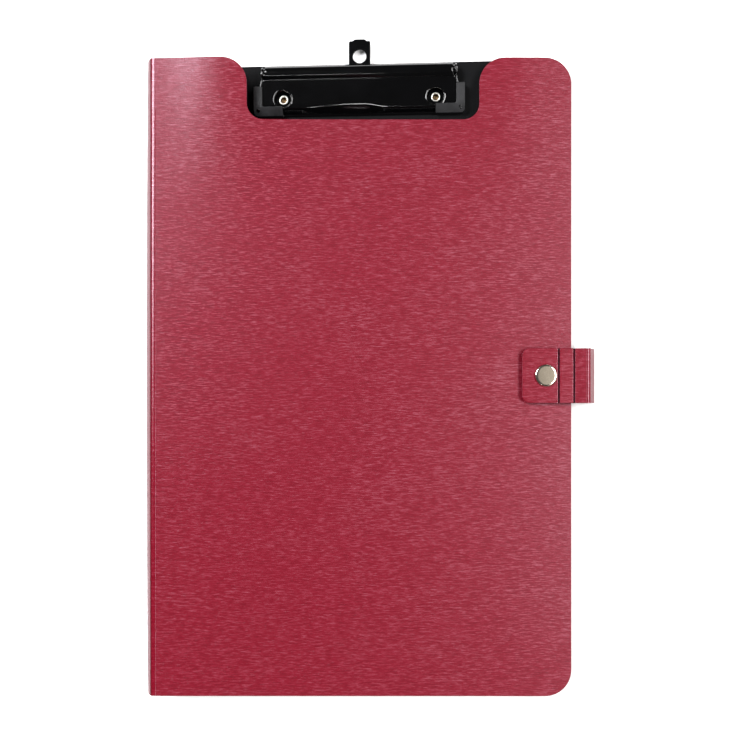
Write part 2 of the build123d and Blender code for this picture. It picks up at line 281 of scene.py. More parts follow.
def lathe(name, profile, place, steps=64):
    """A profile (r, h) turned about an axis; place(x, y, h) puts it in the frame."""
    verts, faces = [], []
    rings = []
    for r, h in profile:
        if r < 1e-6:
            rings.append([len(verts)])
            verts.append(place(0, 0, h))
        else:
            ring = []
            for k in range(steps):
                a = 2 * pi * k / steps
                ring.append(len(verts))
                verts.append(place(r * cos(a), r * sin(a), h))
            rings.append(ring)
    for A, B in zip(rings, rings[1:]):
        for k in range(steps):
            k2 = (k + 1) % steps
            if len(A) == 1 and len(B) == 1:
                continue
            if len(A) == 1:
                faces.append((A[0], B[k], B[k2]))
            elif len(B) == 1:
                faces.append((A[k], A[k2], B[0]))
            else:
                faces.append((A[k], A[k2], B[k2], B[k]))
    return obj_from(name, verts, faces)


def joined(name, obs):
    bm = bmesh.new()
    for o in obs:
        bm.from_mesh(o.data)
    me = bpy.data.meshes.new(name)
    bm.to_mesh(me)
    bm.free()
    for o in obs:
        bpy.data.objects.remove(o)
    ob = bpy.data.objects.new(name, me)
    bpy.context.scene.collection.objects.link(ob)
    for p in me.polygons:
        p.use_smooth = True
    return ob


def finish_piece(ob, body, mat, slot, *replaced):
    ob.data.materials.clear()
    ob.data.materials.append(mat)
    if body:
        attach(ob, body)
    if replaced:
        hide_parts(*replaced)
    return ob


# ------------------------------------------------------------------ materials


def new_mat(name):
    m = bpy.data.materials.new(name)
    m.use_nodes = True
    nt = m.node_tree
    nt.nodes.clear()
    out = nt.nodes.new("ShaderNodeOutputMaterial")
    b = nt.nodes.new("ShaderNodeBsdfPrincipled")
    nt.links.new(b.outputs[0], out.inputs["Surface"])
    return m, nt, b


def coords(nt, scale, rot=(0, 0, 0)):
    tc = nt.nodes.new("ShaderNodeTexCoord")
    mp = nt.nodes.new("ShaderNodeMapping")
    mp.inputs["Scale"].default_value = scale
    mp.inputs["Rotation"].default_value = rot
    nt.links.new(tc.outputs["Object"], mp.inputs["Vector"])
    return mp.outputs["Vector"]


def noise(nt, vec, scale, detail=4.0, rough=0.55, dist=0.0):
    n = nt.nodes.new("ShaderNodeTexNoise")
    n.inputs["Scale"].default_value = scale
    n.inputs["Detail"].default_value = detail
    n.inputs["Roughness"].default_value = rough
    n.inputs["Distortion"].default_value = dist
    nt.links.new(vec, n.inputs["Vector"])
    return n.outputs["Fac"]


def ramp(nt, fac, stops):
    r = nt.nodes.new("ShaderNodeValToRGB")
    els = r.color_ramp.elements
    while len(els) < len(stops):
        els.new(0.5)
    for e, (p, c) in zip(els, stops):
        e.position = p
        e.color = (*c, 1) if len(c) == 3 else c
    nt.links.new(fac, r.inputs["Fac"])
    return r.outputs["Color"]


def maprange(nt, fac, a, b, c, d):
    m = nt.nodes.new("ShaderNodeMapRange")
    m.inputs["From Min"].default_value = a
    m.inputs["From Max"].default_value = b
    m.inputs["To Min"].default_value = c
    m.inputs["To Max"].default_value = d
    nt.links.new(fac, m.inputs["Value"])
    return m.outputs["Result"]


def bump(nt, height, strength, distance, normal=None):
    b = nt.nodes.new("ShaderNodeBump")
    b.inputs["Strength"].default_value = strength
    b.inputs["Distance"].default_value = distance
    nt.links.new(height, b.inputs["Height"])
    if normal is not None:
        nt.links.new(normal, b.inputs["Normal"])
    return b.outputs["Normal"]


def mixc(nt, fac, a, b, mode="MIX"):
    m = nt.nodes.new("ShaderNodeMix")
    m.data_type = "RGBA"
    m.blend_type = mode
    if isinstance(fac, float):
        m.inputs["Factor"].default_value = fac
    else:
        nt.links.new(fac, m.inputs["Factor"])
    for sock, v in ((m.inputs[6], a), (m.inputs[7], b)):
        if isinstance(v, tuple):
            sock.default_value = (*v, 1)
        else:
            nt.links.new(v, sock)
    return m.outputs[2]


def red_sheet(name, polish=0.0, haze=1.0):
    """Brushed polypropylene: short fine streaks along x that catch the light, on a satin red sheet; polish smooths it where it is folded."""
    m, nt, b = new_mat(name)
    mid = noise(nt, coords(nt, (150, 1800, 1800)), 1.0, 3.0, 0.62, 0.28)
    fine = noise(nt, coords(nt, (380, 3600, 3600)), 1.0, 2.0, 0.6, 0.3)
    patch = noise(nt, coords(nt, (22, 46, 46)), 1.0, 3.0, 0.6)
    both = nt.nodes.new("ShaderNodeMath")
    both.operation = "ADD"
    nt.links.new(mid, both.inputs[0])
    nt.links.new(maprange(nt, fine, 0.25, 0.75, -0.10, 0.10), both.inputs[1])
    worn = nt.nodes.new("ShaderNodeMath")
    worn.operation = "ADD"
    nt.links.new(both.outputs[0], worn.inputs[0])
    nt.links.new(maprange(nt, patch, 0.3, 0.7, -0.04, 0.04), worn.inputs[1])
    fleck = maprange(nt, worn.outputs[0], 0.52, 0.74, 0.0, 1.0)
    base = ramp(nt, both.outputs[0], [(0.32, (0.105, 0.0012, 0.0068)), (0.50, (0.135, 0.0024, 0.0098)), (0.68, (0.172, 0.0084, 0.0220))])
    nt.links.new(base, b.inputs["Base Color"])
    nt.links.new(maprange(nt, fleck, 0.0, 1.0, 0.305 - polish * 0.12, 0.40 - polish * 0.10), b.inputs["Roughness"])
    nt.links.new(maprange(nt, fleck, 0.0, 1.0, 0.36 * haze, 0.85 * haze), b.inputs["Specular IOR Level"])
    n1 = bump(nt, fine, 0.6 * (1 - 0.5 * polish), 0.000035)
    n2 = bump(nt, mid, 0.8 * (1 - 0.5 * polish), 0.00012, n1)
    nt.links.new(n2, b.inputs["Normal"])
    b.inputs["IOR"].default_value = 1.49
    b.inputs["Specular Tint"].default_value = (1.0, 0.84, 0.97, 1.0)
    return m


def red_inner(name):
    """The sheet's inner face: plain, finely pebbled."""
    m, nt, b = new_mat(name)
    g = noise(nt, coords(nt, (900, 900, 900)), 1.0, 3.0, 0.6)
    c = noise(nt, coords(nt, (12, 12, 12)), 1.0, 3.0, 0.5)
    nt.links.new(ramp(nt, c, [(0.3, (0.124, 0.0026, 0.0095)), (0.7, (0.140, 0.0040, 0.0125))]), b.inputs["Base Color"])
    nt.links.new(maprange(nt, g, 0.3, 0.7, 0.42, 0.56), b.inputs["Roughness"])
    nt.links.new(bump(nt, g, 0.25, 0.00008), b.inputs["Normal"])
    return m


def black_gloss(name, level=0.0008, rough=0.065, spec=0.5):
    m, nt, b = new_mat(name)
    dust = noise(nt, coords(nt, (60, 60, 60)), 1.0, 5.0, 0.6)
    fine = noise(nt, coords(nt, (700, 700, 700)), 1.0, 3.0, 0.5)
    nt.links.new(ramp(nt, dust, [(0.35, (level, level, level * 1.15)), (0.75, (level * 1.5, level * 1.5, level * 1.8))]), b.inputs["Base Color"])
    nt.links.new(maprange(nt, dust, 0.3, 0.75, rough, rough + 0.035), b.inputs["Roughness"])
    nt.links.new(bump(nt, fine, 0.05, 0.00004), b.inputs["Normal"])
    b.inputs["Specular IOR Level"].default_value = spec
    return m


def black_board(name):
    m, nt, b = new_mat(name)
    g = noise(nt, coords(nt, (1300, 1300, 1300)), 1.0, 4.0, 0.65)
    c = noise(nt, coords(nt, (18, 18, 18)), 1.0, 3.0, 0.5)
    nt.links.new(ramp(nt, c, [(0.3, (0.0014, 0.0015, 0.0019)), (0.7, (0.0022, 0.0023, 0.0027))]), b.inputs["Base Color"])
    nt.links.new(maprange(nt, g, 0.3, 0.7, 0.50, 0.66), b.inputs["Roughness"])
    nt.links.new(bump(nt, g, 0.25, 0.00008), b.inputs["Normal"])
    b.inputs["Specular IOR Level"].default_value = 0.07
    return m


def rubber(name):
    m, nt, b = new_mat(name)
    g = noise(nt, coords(nt, (800, 260, 800)), 1.0, 4.0, 0.6)
    c = noise(nt, coords(nt, (140, 140, 140)), 1.0, 4.0, 0.6)
    nt.links.new(ramp(nt, c, [(0.3, (0.0032, 0.0032, 0.0038)), (0.7, (0.0115, 0.0112, 0.0125))]), b.inputs["Base Color"])
    nt.links.new(maprange(nt, g, 0.3, 0.7, 0.42, 0.62), b.inputs["Roughness"])
    nt.links.new(bump(nt, g, 0.4, 0.00015), b.inputs["Normal"])
    b.inputs["Specular IOR Level"].default_value = 0.3
    return m


def metal(name, col, rough, streak=(400, 400, 400), var=0.12, strength=0.08, spread=0.12):
    m, nt, b = new_mat(name)
    g = noise(nt, coords(nt, streak), 1.0, 4.0, 0.6)
    c = noise(nt, coords(nt, (90, 90, 90)), 1.0, 3.0, 0.5)
    lo = tuple(v * (1 - var) for v in col)
    nt.links.new(ramp(nt, c, [(0.3, lo), (0.7, col)]), b.inputs["Base Color"])
    nt.links.new(maprange(nt, g, 0.3, 0.7, rough, rough + spread), b.inputs["Roughness"])
    nt.links.new(bump(nt, g, strength, 0.00005), b.inputs["Normal"])
    b.inputs["Metallic"].default_value = 1.0
    return m


RED = red_sheet("red_brushed")
RED_FOLD = red_sheet("red_folded", 1.0)
RED_STRAP = red_sheet("red_strap", 0.0, 0.55)
RED_EDGE = red_inner("red_plain")
# Painted shade: a near-black red for the faces inside the score grooves of the front fold and the strap creases. It is
# darker than the sheet and stands in for the shade that falls in the grooves.
RED_GROOVE_PAINTED_SHADE, _nt, _b = new_mat("red_score_line_painted_shade")
_n = noise(_nt, coords(_nt, (120, 900, 900)), 1.0, 2.0, 0.5)
_nt.links.new(ramp(_nt, _n, [(0.3, (0.012, 0.0006, 0.0030)), (0.7, (0.026, 0.0010, 0.0052))]), _b.inputs["Base Color"])
_b.inputs["Roughness"].default_value = 0.75
_b.inputs["Specular IOR Level"].default_value = 0.12
BLACK = black_gloss("black_coated_steel")
BOARD = black_board("black_board_film")
RUBBER = rubber("grip_rubber")
STEEL = metal("drawn_steel", (0.60, 0.60, 0.61), 0.22, (40, 900, 900), 0.15, 0.2)
NICKEL = metal("warm_nickel", (0.76, 0.67, 0.55), 0.12, (500, 500, 500), 0.06, 0.02, 0.04)
RING = metal("rivet_nickel", (0.84, 0.80, 0.73), 0.28, (500, 500, 500), 0.08, 0.05)
BRASS = metal("rivet_brass", (0.20, 0.135, 0.07), 0.42, (900, 900, 900), 0.6, 0.5)
TABMAT = black_gloss("black_tab", 0.0008, 0.10, 0.35)

# ------------------------------------------------------------------ CAD nodes that stay


def dress(node, *mats):
    ob = NODES[node]
    ob.data.materials.clear()
    for mt in mats:
        ob.data.materials.append(mt)
    return ob


for n in NODES:
    dress(n, RED_EDGE)
dress("back_panel", RED)
dress("backing_board", BOARD)
dress("clip_base_plate", BLACK)
dress("clip_hinge_rod", STEEL)
for n, wd in (("back_panel", 0.25), ("backing_board", 0.2)):
    bevel(NODES[n], wd, 2, 50, False)
    for p in NODES[n].data.polygons:
        p.use_smooth = False

# ------------------------------------------------------------------ front leaf


def lobe_lift(u, v):
    """The free lobes beside the notch stand up a little, the left one more."""
    s = 0.0
    if v > 60:
        k = ((v - 60) / 115.5) ** 2
        s += 2.7 * k * exp(-((u + 76) / 30.0) ** 2) * (1 - exp(-((u + 116) / 18.0) ** 2))
        s += 0.9 * k * exp(-((u - 84) / 22.0) ** 2)
    # the leaf's long free edge is held down at the strap and rides up a little at its far ends
    s += 0.5 * (abs(v) / 175.5) ** 3 * max(0.0, (u - 20) / 95.0) ** 2
    return s


r_in, r_out, r_c = 8.8, 14.0, 14.5
U0 = U_FOLD + 1.35
top = HALF_Y
cover_loop = []
cover_loop += [(U0, -top)]
cover_loop += arc(RIGHT_X - r_c, -top + r_c, r_c, -90, 0, 16)
cover_loop += arc(RIGHT_X - r_c, top - r_c, r_c, 0, 90, 16)
cover_loop += arc(NOTCH_U1 + r_out, top - r_out, r_out, 90, 180, 18)
cover_loop += arc(NOTCH_U1 - r_in, NOTCH_V + r_in, r_in, 0, -90, 12)
cover_loop += arc(NOTCH_U0 + r_in, NOTCH_V + r_in, r_in, -90, -180, 12)
cover_loop += arc(NOTCH_U0 - r_out, top - r_out, r_out, 0, 90, 18)
cover_loop += [(U0, top)]
cuts_u = [-110, -104, -98, -92, -86, -80, -74, -68, -60, -48, -34, -20, -5, 10, 25, 40, 50, 58, 66, 72, 78, 84, 90, 96, 102, 109]
cuts_v = [-165, -150, -130, -105, -80, -50, -20, 10, 40, 60, 75, 90, 102, 112, 122, 130, 138, 146, 152, 158, 163, 168, 172]
cover = outline_plate("front_leaf", cover_loop, [], leaf, -SHEET, 0.0, cuts_u, cuts_v, lobe_lift)
bevel(cover, 0.22, 2, 50)
bake(cover)
cover.data.materials.clear()
cover.data.materials.append(RED)
cover.data.materials.append(RED_EDGE)
for p in cover.data.polygons:
    p.material_index = 0 if p.normal.dot(N_DIR) > -0.5 else 1
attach(cover, "cover")
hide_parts("front_cover")

# ------------------------------------------------------------------ spine
chord = Vector((FRONT[0] - REAR[0], FRONT[1] - REAR[1]))
clen = chord.length
BOW = 3.0
SR = (clen * clen / 4 + BOW * BOW) / (2 * BOW)
mid = Vector(((FRONT[0] + REAR[0]) / 2, (FRONT[1] + REAR[1]) / 2))
inb = Vector((chord.y, -chord.x)).normalized()
cen = mid + inb * (SR - BOW)


def ang(p):
    return math.degrees(atan2(p[1] - cen.y, p[0] - cen.x)) % 360


a_lo, a_hi = ang(REAR), ang(FRONT)
gap = math.degrees(1.35 / SR)
spath = arc(cen.x, cen.y, SR, a_hi + gap, a_lo - gap, 14)     # from the front fold down to the rear fold


def spine_bulge(i, s):
    return -0.75 * sin(pi * s)


spine_sec = thick(spath, SHEET / 2, SHEET / 2)
n_path = len(spath)


def bulge_sec(i, s):
    k = i * 2
    k = k if k <= 1 else 2 - k
    return -0.8 * sin(pi * s) * sin(pi * min(1, max(0, k)))


spine = strip_along_y("spine_strip", spine_sec, -HALF_Y, HALF_Y, 36, bulge_sec)
bevel(spine, 0.2, 2, 50)
bake(spine)
finish_piece(spine, "spine", RED, "red_sheet", "spine_panel")

# ------------------------------------------------------------------ living hinges


def web(name, path, tl, tr, y0, y1, ny=24, mat=RED):
    sec = thick(path, tl, tr)
    ob = strip_along_y(name, sec, y0, y1, ny, None, True)
    ob.data.materials.clear()
    ob.data.materials.append(mat)
    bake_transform(ob)
    return ob


def bez(p, c, q, n):
    return [((1 - s) ** 2 * p[0] + 2 * s * (1 - s) * c[0] + s * s * q[0], (1 - s) ** 2 * p[1] + 2 * s * (1 - s) * c[1] + s * s * q[1]) for s in [i / n for i in range(n + 1)]]


def xz(vec):
    return (vec.x, vec.z)


# front fold: the sheet turns over with a soft shoulder, and is scored on the spine's side
def web_sec(name, outer, inner, y0, y1, ny=24, mat=RED):
    ob = strip_along_y(name, outer + inner[::-1], y0, y1, ny, None, True)
    ob.data.materials.clear()
    ob.data.materials.append(mat)
    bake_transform(ob)
    return ob


sp0 = Vector(spath[0])
sd0 = (Vector(spath[1]) - sp0).normalized()
sn0 = Vector((sd0.y, -sd0.x))              # outward, away from the leaf
if sn0.x > 0:
    sn0 = -sn0
so, si = sp0 + sn0 * (SHEET / 2 - 0.03), sp0 - sn0 * (SHEET / 2 - 0.03)
l_top, l_bot = xz(leaf(U0 + 0.65, 0, 0.012)), xz(leaf(U0 + 0.45, 0, -SHEET + 0.02))
fx, fz = FRONT[0], FRONT[1]
shoulder = bez(l_top, (fx - 0.46, fz + 0.68), (fx - 0.95, fz - 0.08), 12)
groove = [shoulder[-1], (fx - 0.86, fz - 0.30), (fx - 0.62, fz - 0.55), (fx - 0.70, fz - 0.85), (so.x + 0.08, so.y + 0.22), tuple(so)][1:]
inner_line = bez(l_bot, (fx + 0.05, fz - 0.62), tuple(si), 16)
fold = web_sec("fold_front", shoulder + groove, inner_line, -HALF_Y + 0.05, HALF_Y - 0.05, 36, RED_FOLD)
# painted shade: the groove faces of the front fold take the darkened red in place of the shade that falls there
fold.data.materials.append(RED_GROOVE_PAINTED_SHADE)
n_sec = len(shoulder) + len(groove) + len(inner_line)
for p in fold.data.polygons:
    if p.index < 36 * n_sec and 10 <= p.index % n_sec <= 14:
        p.material_index = 1
# rear fold
g0 = spath[-1]
g1 = (back_lo.x + 0.05, SHEET / 2)
gpath = bez(g0, (REAR[0] - 0.35, REAR[1] + 0.05), g1, 12)
web("fold_rear", gpath, [0.58, 0.45, 0.3, 0.22, 0.2, 0.2, 0.2, 0.2, 0.2, 0.22, 0.3, 0.45, 0.58], [0.58, 0.58, 0.55, 0.5, 0.42, 0.36, 0.34, 0.36, 0.42, 0.5, 0.55, 0.58, 0.58], -HALF_Y + 0.05, back_hi.y - 0.05, 24)

# ------------------------------------------------------------------ strap


def strip_pts(p, q, a, b):
    d = Vector((q[0] - p[0], q[1] - p[1])).normalized()
    return (p[0] + d.x * a, p[1] + d.y * a), (q[0] - d.x * b, q[1] - d.y * b)


def facet(name, p, q, a, b, body, node):
    s, e = strip_pts(p, q, a, b)
    pts = [(s[0] + (e[0] - s[0]) * i / 6, s[1] + (e[1] - s[1]) * i / 6) for i in range(7)]
    ob = strip_along_y(name, thick(pts, SHEET / 2, SHEET / 2), STRAP_Y0, STRAP_Y1, 6)
    bevel(ob, 0.32, 3, 50)
    bake(ob)
    finish_piece(ob, body, RED if node == "strap_mid_outer" else RED_STRAP, "red_sheet", node)
    return s, e


s_root, s_top = facet("strap_edge_facet", ROOT, BEND, 1.0, 1.15, "strap_a", "strap_side")
m_out0, m_out1 = facet("strap_outer_facet", BEND, C2, 1.25, 0.50, "strap_b", "strap_mid_outer")
m_in0, m_in1 = facet("strap_inner_facet", C2, C1, 0.42, 0.50, "strap_c", "strap_mid_inner")

sy0, sy1 = STRAP_Y0 + 0.05, STRAP_Y1 - 0.05
root_in = (ROOT[0] - 1.0 - 0.05, ROOT[1])
web("strap_fold_root", bez(root_in, (ROOT[0] + 0.1, ROOT[1] + 0.0), s_root, 10), [0.3, 0.3, 0.3, 0.3, 0.3, 0.3, 0.3, 0.3, 0.3, 0.3, 0.3], [0.58, 0.58, 0.55, 0.5, 0.46, 0.44, 0.46, 0.5, 0.55, 0.58, 0.58], sy0, sy1, 6)
web("strap_fold_bend", bez(s_top, (BEND[0] + 0.12, BEND[1] + 0.12), m_out0, 10), 0.34, [0.58, 0.58, 0.57, 0.55, 0.54, 0.54, 0.54, 0.55, 0.57, 0.58, 0.58], sy0, sy1, 6, RED_FOLD)


def crease(name, left, right):
    """A scored line between two strap facets: a rolled lip on the flap's side, then a sharp groove."""
    lv, rv_ = Vector(left), Vector(right)
    d = (rv_ - lv).normalized()
    up = Vector((-d.y, d.x))
    if up.y < 0:
        up = -up
    h = SHEET / 2

    def at(k, e):
        w = lv + d * k + up * e
        return (w.x, w.y)

    gap = (rv_ - lv).length
    top = [at(-0.85, h + 0.004), at(-0.62, h + 0.035), at(-0.38, h + 0.045), at(-0.16, h + 0.015), at(0.02, h - 0.10), at(0.10, h - 0.32)]
    top += [at(0.16, -0.02), at(0.30, -0.16), at(gap * 0.5, -0.20), at(gap - 0.14, -0.16), at(gap - 0.02, -0.05), at(gap + 0.08, 0.02)]
    low = [at(-0.85, h - 0.25), at(-0.12, h - 0.30), at(-0.10, -h + 0.06), at(gap * 0.5, -h + 0.12), at(gap + 0.08, -h + 0.06)]
    ob = web_sec(name, top, low, sy0, sy1, 6, RED_FOLD)
    # painted shade: the groove faces of each crease take the darkened red in place of the shade that falls there
    ob.data.materials.append(RED_GROOVE_PAINTED_SHADE)
    n = len(top) + len(low)
    for p in ob.data.polygons:
        if p.index < 6 * n and 4 <= p.index % n < len(top) - 1:
            p.material_index = 1


crease("strap_crease_outer", m_in0, m_out1)
fl_start = xz(leaf(U_C1 - 0.50, 0, LIFT))
crease("strap_crease_inner", fl_start, m_in1)

# flap: free corners rounded, with a lightly rolled free edge
fr = 4.2
yc0, yc1 = STRAP_Y0, STRAP_Y1
flap_loop = [(U_C1 - 0.50, yc0), (U_C1 - 0.50, yc1)]
flap_loop += arc(U_FLAP + fr, yc1 - fr, fr, 90, 180, 12)
flap_loop += arc(U_FLAP + fr, yc0 + fr, fr, 180, 270, 12)
flap = outline_plate("strap_flap_facet", flap_loop, [], leaf, LIFT - SHEET / 2, LIFT + SHEET / 2, [90, 94, 98, 102, 106], [-10, -5, 0, 5, 10])
bevel(flap, 0.34, 3, 50)
bake(flap)
finish_piece(flap, "strap_d", RED_STRAP, "red_sheet", "strap_flap")

# ------------------------------------------------------------------ snap


def on_snap(x, y, h):
    return leaf(SNAP_U + x, SNAP_V + y, h)


T = LIFT + SHEET / 2
L = LIFT - SHEET / 2
cap_prof = [(0, T + 1.54), (1.5, T + 1.536), (3.0, T + 1.524), (4.4, T + 1.502), (5.1, T + 1.478), (5.5, T + 1.41), (5.8, T + 1.25), (6.0, T + 1.0), (6.13, T + 0.7), (6.21, T + 0.4), (6.25, T + 0.12), (6.2, T + 0.0), (5.7, T - 0.02), (0, T - 0.02)]
cap = lathe("snap_cap_dome", cap_prof, on_snap, 96)
finish_piece(cap, "strap_d", NICKEL, "snap_metal", "snap_cap")
soc_prof = [(2.45, 0.55), (2.7, 0.5), (4.4, 0.5), (5.0, 0.62), (5.25, 0.9), (5.25, 1.15), (4.95, 1.35), (4.95, 1.55), (5.25, 1.75), (5.25, L - 0.05), (4.9, L), (1.85, L), (1.85, 1.95), (2.3, 1.95), (2.62, 1.6), (2.62, 1.2), (2.45, 1.0), (2.45, 0.55)]
soc = lathe("snap_socket_ring", soc_prof, on_snap, 72)
finish_piece(soc, "strap_d", NICKEL, "snap_metal", "snap_socket")
stud_prof = [(0, 1.55), (0.75, 1.55), (0.95, 1.8), (1.55, 1.8), (1.95, 1.62), (2.1, 1.35), (2.05, 1.05), (1.8, 0.85), (1.85, 0.6), (2.3, 0.5), (3.2, 0.47), (4.5, 0.4), (4.9, 0.25), (5.0, 0.02), (0, 0.02)]
stud = lathe("snap_stud_post", stud_prof, on_snap, 72)
finish_piece(stud, "cover", NICKEL, "snap_metal", "snap_stud")
post_prof = [(0, -SHEET + 0.02), (4.2, -SHEET + 0.02), (4.5, -SHEET - 0.15), (4.45, -SHEET - 0.45), (4.0, -SHEET - 0.68), (2.6, -SHEET - 0.78), (1.6, -SHEET - 0.8), (1.2, -SHEET - 0.6), (0, -SHEET - 0.6)]
post = lathe("snap_post_disc", post_prof, on_snap, 72)
finish_piece(post, "cover", NICKEL, "snap_metal", "snap_post")

# ------------------------------------------------------------------ clip jaw
PT = 0.9
BR = 3.75
BHALF, JHALF, WHALF = 52.3, 56.4, 54.3
HOLE_Y = RIV_Y - 0.5


def jaw_top(xr, k):
    """Outer line of the jaw at xr from the clip's centre, k from 0 (rear) to 1 (front edge)."""
# """Left empty: returns nothing; xr and k are not used."""


def jaw_line(xr):
    """Outer section line (y, z) from the barrel's rear lower edge round the top, down the plate and over the lip."""
    ax = abs(xr)
    pts = []
    # barrel, from -20 degrees over the top
    for i in range(19):
        a = radians(-20 + (90 + 20) * i / 18)
        pts.append((AXY + BR * cos(a), AXZ + BR * sin(a)))
    # flat on top, then a tight shoulder and a tight run out on to the plate
    pts += [(AXY - 0.7, AXZ + BR), (AXY - 1.62, AXZ + BR)]
    pts += bez((AXY - 1.62, AXZ + BR), (AXY - 2.15, AXZ + BR), (AXY - 2.42, AXZ + BR - 0.48), 5)[1:]
    ky, kz = AXY - 3.62, AXZ + BR - 2.55
    if kz < 9.75:
        kz = 9.75
    pts += [(ky, kz)]
    kz2 = 9.24 + (kz - 9.24) * 0.75
    pts += [(ky - 0.08, kz2)]
    pts += bez((ky - 0.08, kz2), (ky - 0.32, 9.23), (ky - 0.72, 9.21), 5)[1:]
    pts += [(164.6, 9.18)] if ky - 0.95 > 164.9 else []
    # thumb lip: a small wave drawn back in the bend line, a little left of the middle
    d = xr + 5.4
    k = (1 + d / 30.0) if d < 0 else (1 - (d - 8.0) / 13.0)
    k = min(1.0, max(0.0, k))
    wave = k * k * (3 - 2 * k)
    back = 1.7 * wave
    yb = 150.2 + back
    zb = 8.6 + 0.15 * wave
    pts += [(164.6 + (yb + 2.4 - 164.6) * i / 7, 9.18 + (zb + 0.11 - 9.18) * i / 7) for i in range(1, 8)]
    # the bend and the flange
    pts += bez((yb + 2.4, zb + 0.11), (yb + 0.25, zb + 0.04), (yb - 0.95, zb - 1.25), 9)[1:]
    ye, ze = 147.75 - 0.15 * wave, 5.3 + 0.1 * wave
    pts += [(yb - 0.95 + (ye - yb + 0.95) * i / 4, zb - 1.25 + (ze - zb + 1.25) * i / 4) for i in range(1, 5)]
    pts += bez((ye, ze), (ye - 0.25, ze - 0.6), (146.75, 4.72), 5)[1:]
    pts += [(146.45, 4.66)]
    return pts


def wing_x(y):
    """Half width over the side wings at y: full at the front, swept in to the rod."""
    k = min(1.0, max(0.0, (y - 157.0) / 12.0))
    k = k * k * (3 - 2 * k)
    return JHALF + (WHALF - JHALF) * k


def side_half(y):
    """Half width of the pressed sheet at y: up to the wings on the plate, short of the ears on the barrel."""
    k = min(1.0, max(0.0, (y - 165.2) / 1.1))
    return (wing_x(y) - 0.6) * (1 - k) + BHALF * k


NX = 96
rows = []
for i in range(NX + 1):
    xr = -1 + 2 * i / NX
    rows.append(xr)
verts, faces = [], []
line0 = jaw_line(0)
NL = len(line0)
for i, t_ in enumerate(rows):
    xr0 = t_ * JHALF
    for (y, z) in jaw_line(xr0):
        verts.append((CLIPX + t_ * side_half(y), y, z))
for i in range(NX):
    for j in range(NL - 1):
        a = i * NL + j
        faces.append((a, a + 1, a + NL + 1, a + NL))
jaw = obj_from("clip_jaw", verts, faces)
# faces point outward: up over the plate
up = sum((p.normal.z for p in jaw.data.polygons if abs(p.center.y / MM - 158) < 4), 0.0)
if up < 0:
    jaw.data.flip_normals()
sol = jaw.modifiers.new("sheet", "SOLIDIFY")
sol.thickness = PT * MM
sol.offset = -1.0
sol.use_even_offset = True
bake(jaw)


def cutter(name, verts, faces):
    return obj_from(name, verts, faces, False)


def cylinder_cutter(x, y, z0, z1, r, n=64):
    vs, fs = [], []
    for z in (z0, z1):
        for k in range(n):
            vs.append((x + r * cos(2 * pi * k / n), y + r * sin(2 * pi * k / n), z))
    for k in range(n):
        fs.append((k, (k + 1) % n, n + (k + 1) % n, n + k))
    fs.append(tuple(reversed(range(n))))
    fs.append(tuple(range(n, 2 * n)))
    return obj_from("cut", vs, fs, False)


def box_cutter(lo, hi):
    vs = [(x, y, z) for x in (lo[0], hi[0]) for y in (lo[1], hi[1]) for z in (lo[2], hi[2])]
    fs = [(0, 1, 3, 2), (4, 6, 7, 5), (0, 4, 5, 1), (2, 3, 7, 6), (0, 2, 6, 4), (1, 5, 7, 3)]
    return obj_from("cut", vs, fs, False)


def cut(ob, c):
    m = ob.modifiers.new("cut", "BOOLEAN")
    m.object = c
    m.operation = "DIFFERENCE"
    m.solver = "EXACT"
    bake(ob)
    bpy.data.objects.remove(c)


for x in RIV_X:
    cut(jaw, cylinder_cutter(x, HOLE_Y, 6.5, 11.5, 5.15))
# window in the barrel's rear for the hanging tab
cut(jaw, box_cutter((TABX - 6.9, AXY + 1.2, 3.0), (TABX + 6.9, 176.0, 10.2)))
tidy(jaw)
bevel(jaw, 0.16, 2, 40, False)
bake(jaw)
tidy(jaw)
for p in jaw.data.polygons:
    p.use_smooth = True
m = jaw.modifiers.new("weighted", "WEIGHTED_NORMAL")
bake(jaw)

# drawn rims of the two clearance holes
rims = []
for x in RIV_X:
    zt = 9.18 + (HOLE_Y - 164.6) / (164.6 - 151.5) * (9.18 - 8.65) - 0.02

    def at_hole(a, b, h, x=x, zt=zt):
        return Vector((x + a, HOLE_Y + b, zt + b * 0.04 + h))

    prof = [(5.75, -0.03), (5.5, 0.05), (5.28, 0.15), (5.05, 0.18), (4.85, 0.10), (4.70, -0.10), (4.63, -0.45), (4.62, -1.15), (4.85, -1.25), (5.3, -1.1), (5.75, -0.6), (5.75, -0.03)]
    rims.append(lathe("rim", prof, at_hole, 64))

# side wings, swept in plan, with round ends about the rod


def wing_top(y):
    ring = AXZ + math.sqrt(max(0.0, 3.4 ** 2 - (y - AXY) ** 2))
    if y >= 167.6:
        return ring
    plate = 9.18 + (y - 164.6) / (164.6 - 151.5) * (9.18 - 8.65)
    if y < 151.2:
        plate = 8.62 - 0.9 * ((151.2 - y) / 1.8) ** 2
    k = min(1.0, max(0.0, (y - 165.4) / 2.2))
    return plate * (1 - k) + (AXZ + math.sqrt(3.4 ** 2 - (167.6 - AXY) ** 2)) * k * k + plate * 0 + (plate * (k - k * k))


def wing_bottom(y):
    if y < 166.6:
        return 5.9
    ring = AXZ - math.sqrt(max(0.0, 3.4 ** 2 - (y - AXY) ** 2))
    k = min(1.0, (y - 166.6) / 1.2)
    return 5.9 * (1 - k) + ring * k


